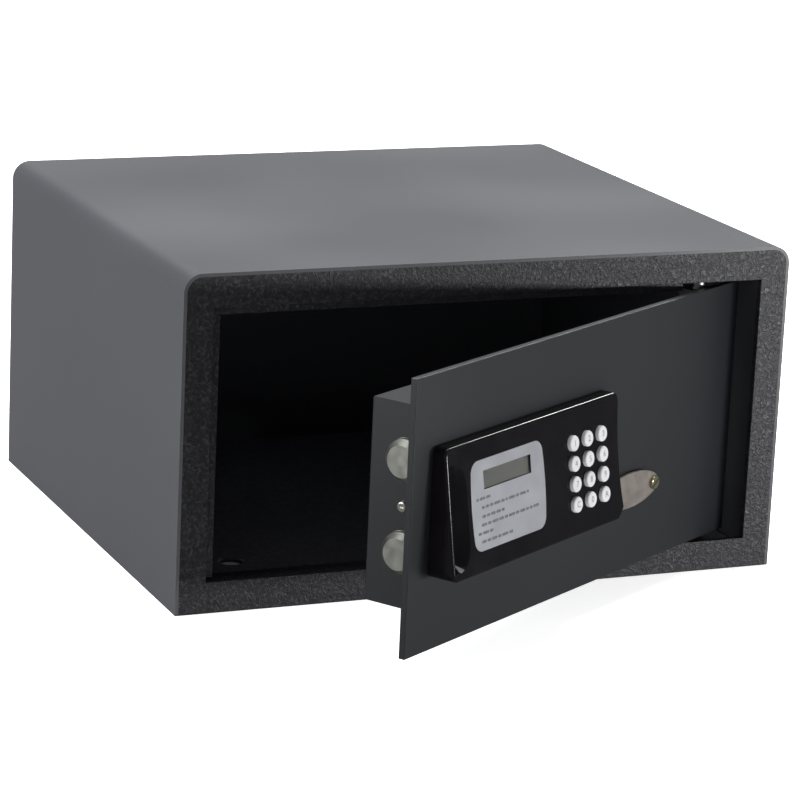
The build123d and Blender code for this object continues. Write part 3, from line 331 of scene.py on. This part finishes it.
def frosted_lens():
    """Opal acrylic over light-emitting diodes: a cool glow, brighter over each diode."""
    made, tree, shader, at = start("opal_lamp_acrylic")
    spots = node(tree, "TexNoise", {"Vector": at, "Scale": per_mm(14), "Detail": 1.0})
    glow = ramp(tree, spots.outputs["Fac"], [(0.35, linear("#5a74ff")), (0.65, linear("#9fb4ff"))])
    feed(tree, shader, Base_Color=linear("#dfe4f2"), Roughness=0.45, Emission_Color=glow,
         Emission_Strength=LAMP_GLOW)
    return made


def needle_felt():
    """Needle-punched polyester felt: matted dark fibres with lint-grey flecks."""
    made, tree, shader, at = start("needle_felt")
    fibres = node(tree, "TexNoise", {"Vector": at, "Scale": per_mm(0.8), "Detail": 6.0, "Roughness": 0.75})
    tufts = node(tree, "TexNoise", {"Vector": at, "Scale": per_mm(4.0), "Detail": 3.0})
    both = node(tree, "Math", {0: fibres.outputs["Fac"], 1: 0.7, 2: tufts.outputs["Fac"]},
                operation="MULTIPLY_ADD")
    colour_out = ramp(tree, both.outputs[0],
                      [(0.6, linear("#0f0f11")), (0.85, linear("#1e1e21")), (1.1, linear("#3a3a3f"))])
    bump = node(tree, "Bump", {"Height": both.outputs[0], "Strength": 0.8, "Distance": 0.0006})
    feed(tree, shader, Base_Color=colour_out, Roughness=0.95, Normal=bump.outputs["Normal"],
         Sheen_Weight=0.25, Sheen_Roughness=0.6)
    return made


def circuit_board():
    """Glass-epoxy board under green solder mask, with the copper tracks just showing."""
    made, tree, shader, at = start("green_solder_mask")
    tracks = node(tree, "TexBrick", {"Vector": at, "Scale": per_mm(4.0), "Mortar Size": 0.06,
                                     "Color1": linear("#0d3d22"), "Color2": linear("#0f4527"),
                                     "Mortar": linear("#1a6a3c")})
    weave = node(tree, "TexNoise", {"Vector": at, "Scale": per_mm(0.6), "Detail": 2.0})
    bump = node(tree, "Bump", {"Height": weave.outputs["Fac"], "Strength": 0.15, "Distance": 0.00004})
    feed(tree, shader, Base_Color=tracks.outputs["Color"], Roughness=0.35, Normal=bump.outputs["Normal"])
    return made


def foil_jacket():
    """Shrink foil round a cell: dark printed film with a copper-coloured band near one end."""
    made, tree, shader, at = start("printed_foil_jacket")
    split = node(tree, "SeparateXYZ", {0: at})
    low, high = span("battery_cells", UP)
    height = node(tree, "MapRange", {"Value": split.outputs[2], "From Min": low, "From Max": high})
    band = ramp(tree, height.outputs[0], [(0.0, linear("#191a1d")), (0.72, linear("#191a1d")),
                                          (0.74, linear("#b87333")), (1.0, linear("#b87333"))])
    rub = node(tree, "TexNoise", {"Vector": at, "Scale": per_mm(5), "Detail": 3.0})
    rough_out = node(tree, "MapRange", {"Value": rub.outputs["Fac"], "To Min": 0.2, "To Max": 0.4})
    feed(tree, shader, Base_Color=band, Metallic=0.4, Roughness=rough_out.outputs[0])
    return made


def printed_ink(name, colour):
    """Screen-printed ink: a thin matt layer with slightly uneven cover."""
    made, tree, shader, at = start(name)
    cover = node(tree, "TexNoise", {"Vector": at, "Scale": per_mm(1.2), "Detail": 2.0})
    colour_out = ramp(tree, cover.outputs["Fac"], [(0.3, linear(colour)), (0.8, linear("#66676c"))])
    feed(tree, shader, Base_Color=colour_out, Roughness=0.55)
    return made


def light_table():
    """Opal acrylic lit from below: very pale, with a faint tooth, and it fills in its own shadows."""
    made, tree, shader, at = start("opal_light_table")
    tooth = node(tree, "TexNoise", {"Vector": at, "Scale": per_mm(1.5), "Detail": 2.0})
    colour_out = ramp(tree, tooth.outputs["Fac"], [(0.3, linear("#f4f4f4")), (0.7, linear("#f7f7f7"))])
    feed(tree, shader, Base_Color=colour_out, Roughness=0.9, Emission_Color=linear("#ffffff"),
         Emission_Strength=TABLE_GLOW)
    return made


# ------------------------------------------------------------------ measuring the frame
def span(name, direction):
    """Lowest and highest reach of a CAD node along a direction."""
    reach = [vertex.co.dot(direction) for vertex in NODES[name].data.vertices]
    return min(reach), max(reach)


def centre_of(name):
    """Middle of a CAD node along the door's own directions."""
    point = Vector()
    for direction in (ALONG, OUT, UP):
        low, high = span(name, direction)
        point += direction * (low + high) / 2
    return point


def on_face(along, up, height):
    """Placement on the sloping key face: x along it, y up it, z out of it."""
    origin = ALONG * along + FACE_UP * up + LEAN * height
    turn = Matrix((ALONG, FACE_UP, LEAN)).transposed().to_4x4()
    return Matrix.Translation(origin) @ turn


# ------------------------------------------------------------------ modelling tools
def deselect():
    for obj in bpy.context.selected_objects:
        obj.select_set(False)


def only(obj):
    """Makes obj the one selected and active object."""
    deselect()
    obj.select_set(True)
    bpy.context.view_layer.objects.active = obj


def settle(obj, matrix=None):
    """Puts an object's place into its mesh, so that the object sits at the origin."""
    if matrix is not None:
        obj.matrix_world = matrix @ obj.matrix_world
    bpy.context.view_layer.update()
    obj.data.transform(obj.matrix_world)
    obj.matrix_world = Matrix.Identity(4)


def joined(pieces):
    """Several objects as one, which is the first of them."""
    deselect()
    for piece in pieces:
        piece.select_set(True)
    bpy.context.view_layer.objects.active = pieces[0]
    bpy.ops.object.join()
    return pieces[0]


SMOOTH_ANGLE = math.radians(35)
BAR_ROUNDING = 0.45                    # share of a printed bar's height


def finish_piece(obj, name, material, body):
    """Names a piece, smooths it, gives it its finish and lets it ride."""
    obj.name = name
    obj.data.name = name
    only(obj)
    bpy.ops.object.shade_smooth_by_angle(angle=SMOOTH_ANGLE)
    obj.data.materials.clear()
    obj.data.materials.append(material)
    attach(obj, body)


def raised_bar(length, height, thickness):
    """A printed bar with rounded ends, lying on z = 0 and centred on the origin."""
    bpy.ops.mesh.primitive_plane_add(size=1.0)
    bar = bpy.context.active_object
    bar.scale = (length, height, 1.0)
    bpy.ops.object.transform_apply(location=False, rotation=False, scale=True)
    bpy.ops.object.mode_set(mode="EDIT")
    bpy.ops.mesh.select_all(action="SELECT")
    bpy.ops.mesh.bevel(offset=height * BAR_ROUNDING, segments=3, affect="VERTICES")
    bpy.ops.mesh.extrude_region_move(TRANSFORM_OT_translate={"value": (0, 0, thickness)})
    bpy.ops.object.mode_set(mode="OBJECT")
    return bar


# ------------------------------------------------------------------ printing on the key face
INK_T = 0.05 * MM
LABEL_LINES = (                       # height up the label, left margin, length: shares of the label
    (0.575, 0.065, 0.20), (0.475, 0.13, 0.64), (0.375, 0.13, 0.30),
    (0.285, 0.115, 0.78), (0.195, 0.065, 0.20), (0.10, 0.105, 0.42),
)
WORD_LENGTHS_MM = (3.4, 5.2, 2.4, 4.4, 6.0, 2.8)
WORD_GAP = 0.8 * MM
SHORTEST_WORD = 1.5 * MM
INK_HEIGHT = 1.6 * MM
DIGIT_SIZE = 5.0 * MM
LABEL_SEED = 7
KEY_LETTERS = {"clear": "C", "lock": "A"}


def label_print(ink):
    """Lines of plain bars in place of the label's instructions."""
    random.seed(LABEL_SEED)
    u0, u1 = span("keypad_label", ALONG)
    s0, s1 = span("keypad_label", FACE_UP)
    top = span("keypad_label", LEAN)[1]
    bars = []
    for up, margin, length in LABEL_LINES:
        cursor = u0 + margin * (u1 - u0)
        end = cursor + length * (u1 - u0)
        while cursor < end - SHORTEST_WORD:
            word = min(random.choice(WORD_LENGTHS_MM) * MM, end - cursor)
            bar = raised_bar(word, INK_HEIGHT, INK_T)
            settle(bar, on_face(cursor + word / 2, s0 + up * (s1 - s0), top))
            bars.append(bar)
            cursor += word + WORD_GAP
    finish_piece(joined(bars), "label_print", ink, "door")


def key_prints(ink):
    """The digit printed on each key; each rides on its own key."""
    for name in KEY_NAMES:
        key = "key_" + name
        low_u, high_u = span(key, ALONG)
        low_s, high_s = span(key, FACE_UP)
        top = span(key, LEAN)[1]
        deselect()
        bpy.ops.object.text_add()
        text = bpy.context.active_object
        text.data.body = KEY_LETTERS.get(name, name)
        text.data.size = DIGIT_SIZE
        text.data.align_x = "CENTER"
        text.data.align_y = "CENTER"
        text.data.extrude = INK_T
        text.data.resolution_u = 4
        only(text)
        bpy.ops.object.convert(target="MESH")
        text = bpy.context.active_object
        settle(text, on_face((low_u + high_u) / 2, (low_s + high_s) / 2, top))
        finish_piece(text, "key_print_" + name, ink, key + "_cap")


# ------------------------------------------------------------------ floor felt
FELT_CELLS = (188, 162)                # about 2 mm each
FELT_HOLE_EASE_MM = 2.0                # the felt is cut back from the bolt heads
PILE_HEIGHT = 0.6 * MM
PILE_SPACING = 4 * MM
PILE_LEVEL = 0.3                       # share of the pile that lies under the cut sheet's top


def felt_floor(material):
    """Felt lining: a cut sheet with a matted pile, holed over the anchor points."""
    low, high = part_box("floor_mat")
    size, middle = high - low, (low + high) / 2
    deselect()
    bpy.ops.mesh.primitive_grid_add(x_subdivisions=FELT_CELLS[0], y_subdivisions=FELT_CELLS[1], size=1.0)
    felt = bpy.context.active_object
    felt.scale = (size.x, size.y, 1.0)
    felt.location = (middle.x, middle.y, low.z)
    settle(felt)
    anchors = [m for m in frame["record"]["mounts"] if m["name"] == "floor_anchors"][0]["dims"]
    hole_r = (anchors["hole_r_mm"] + FELT_HOLE_EASE_MM) * MM
    bm = bmesh.new()
    bm.from_mesh(felt.data)
    spots = [Vector((x * anchors["spacing_x_mm"] / 2 * MM, y * anchors["spacing_y_mm"] / 2 * MM))
             for x in (-1, 1) for y in (-1, 1)]
    gone = [f for f in bm.faces
            if any((f.calc_center_median().xy - spot).length < hole_r for spot in spots)]
    bmesh.ops.delete(bm, geom=gone, context="FACES")
    for vertex in bm.verts:
        for spot in spots:
            reach = vertex.co.xy - spot
            if vertex.is_boundary and reach.length < 2 * hole_r:
                vertex.co.xy = spot + reach.normalized() * hole_r
    bm.to_mesh(felt.data)
    bm.free()
    thicken = felt.modifiers.new("thickness", "SOLIDIFY")
    thicken.thickness = size.z - 0.5 * MM
    thicken.offset = 1.0
    pile = bpy.data.textures.new("pile", "CLOUDS")
    pile.noise_scale = PILE_SPACING
    lift = felt.modifiers.new("pile", "DISPLACE")
    lift.texture = pile
    lift.strength = PILE_HEIGHT
    lift.direction = "Z"
    lift.texture_coords = "LOCAL"
    lift.mid_level = PILE_LEVEL
    only(felt)
    for modifier in ("thickness", "pile"):
        bpy.ops.object.modifier_apply(modifier=modifier)
    finish_piece(felt, "felt_lining", material, "body")
    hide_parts("floor_mat")


# ------------------------------------------------------------------ putting it together
def dress(material, *names):
    """Gives CAD nodes their finish."""
    for name in names:
        slots = NODES[name].material_slots
        if slots:
            for slot in slots:
                slot.material = material
        else:
            NODES[name].data.materials.append(material)


def dress_frame():
    # grey sheet: smooth and satin, a little blue
    grey = powder_coat("grey_powder_coat", "#414246", "#3e3f43", "#44454a")
    dress(grey, "body_wrap", "rear_panel", "base_plate")
    # the same coat in charcoal on the leaf: finer and glossier
    door = powder_coat("charcoal_powder_coat", "#15171b", "#131518", "#181a1f", peel_mm=0.7,
                       rough=(0.36, 0.44))
    dress(door, "door_plate", "lock_case", "hinge_block_upper", "hinge_block_lower")
    dress(hammered_coat(), "front_frame", "stop_strip_left", "stop_strip_top", "sill_strip",
          "hinge_bracket_upper", "hinge_bracket_lower")
    # grained black: matt, almost without highlights
    black = moulded_plastic("black_grained_plastic", "#101012", "#0c0c0e", 0.42)
    dress(black, "lamp_housing", "battery_holder", "battery_cover")
    dress(polished_abs(), "keypad_housing")
    dress(silver_film(), "keypad_label")
    dress(clear_acrylic(), "display_window")
    dress(liquid_crystal(), "display_module")
    # keys: pale grey with a soft satin shine
    keys = moulded_plastic("light_grey_key_plastic", "#b9b9bc", "#b0b0b4", 0.32, grain_mm=0.3, strength=0.2)
    dress(keys, *["key_" + name for name in KEY_NAMES])
    # silicone rubber: dull grey, no shine
    dress(moulded_plastic("silicone_rubber", "#4c4c4e", "#434345", 0.55), "keypad_mat")
    dress(circuit_board(), "keypad_board", "control_board")
    # flat cable: pale grey vinyl
    dress(moulded_plastic("ribbon_pvc", "#b9b9b2", "#a9a9a2", 0.45), "ribbon_cable")
    # acetal: white and waxy
    dress(moulded_plastic("white_acetal", "#dededa", "#d3d3cf", 0.35), "drive_rack")
    dress(turned_steel(), "locking_bolt_upper", "locking_bolt_lower")
    # zinc plate on rolled steel: cool white with dull streaks
    zinc = metal("zinc_plated_steel", "#c3c4c2", "#9fa1a2", 0.36, 9.0, 1.2)
    dress(zinc, "case_bracket", "bolt_guide", "motor_bracket", "bolt_carriage", "draw_bar", "bolt_clips",
          "cover_washer", "lock_cam", "gearmotor", "hinge_pins")
    # nickel plate on steel screws: bright and slightly warm
    nickel = metal("nickel_plated_steel", "#d6d3cc", "#bdbab3", 0.2, 2.0, 0.4)
    dress(nickel, "case_screws", "housing_screws")
    # bare brass: yellow, with fine lathe marks
    brass = metal("turned_brass", "#d8b569", "#b08a41", 0.26, 2.5, 0.35)
    dress(brass, "lock_nut", "drive_pinion", "lock_plug")
    # thin nickel over brass: a pale yellow silver
    dress(metal("nickel_plated_brass", "#d2cdb2", "#a8a284", 0.2, 2.0, 0.3), "cover_screw", "lock_cylinder")
    # brushed stainless: warm grey, with long fine scratches along the cover
    cover = metal("brushed_stainless", "#dcd2cb", "#b5aca5", 0.34, 14.0, 0.5, turn=(0.0, 0.0, -REST_ANGLE))
    dress(cover, "key_cover")
    dress(foil_jacket(), "battery_cells")
    dress(frosted_lens(), "lamp_lens")


def add_studio():
    deselect()
    bpy.ops.mesh.primitive_plane_add(size=FLOOR_SIZE, location=(0, 0, 0))
    floor = bpy.context.active_object
    floor.name = "studio_floor"
    floor.data.materials.append(light_table())
    floor.visible_glossy = False       # dark gloss mirrors the dim studio, not the bright table
    world = bpy.data.worlds.new("studio")
    bpy.context.scene.world = world
    world.use_nodes = True
    background = world.node_tree.nodes["Background"]
    background.inputs["Color"].default_value = (1.0, 1.0, 1.0, 1.0)
    background.inputs["Strength"].default_value = WORLD_LIGHT
    for softbox in SOFTBOXES:
        add_softbox(*softbox)
    bpy.context.scene.view_settings.view_transform = "Standard"


add_camera()
add_studio()
dress_frame()
label_print(printed_ink("grey_ink", "#3a3b40"))
key_prints(printed_ink("key_ink", "#5a5b60"))
felt_floor(needle_felt())
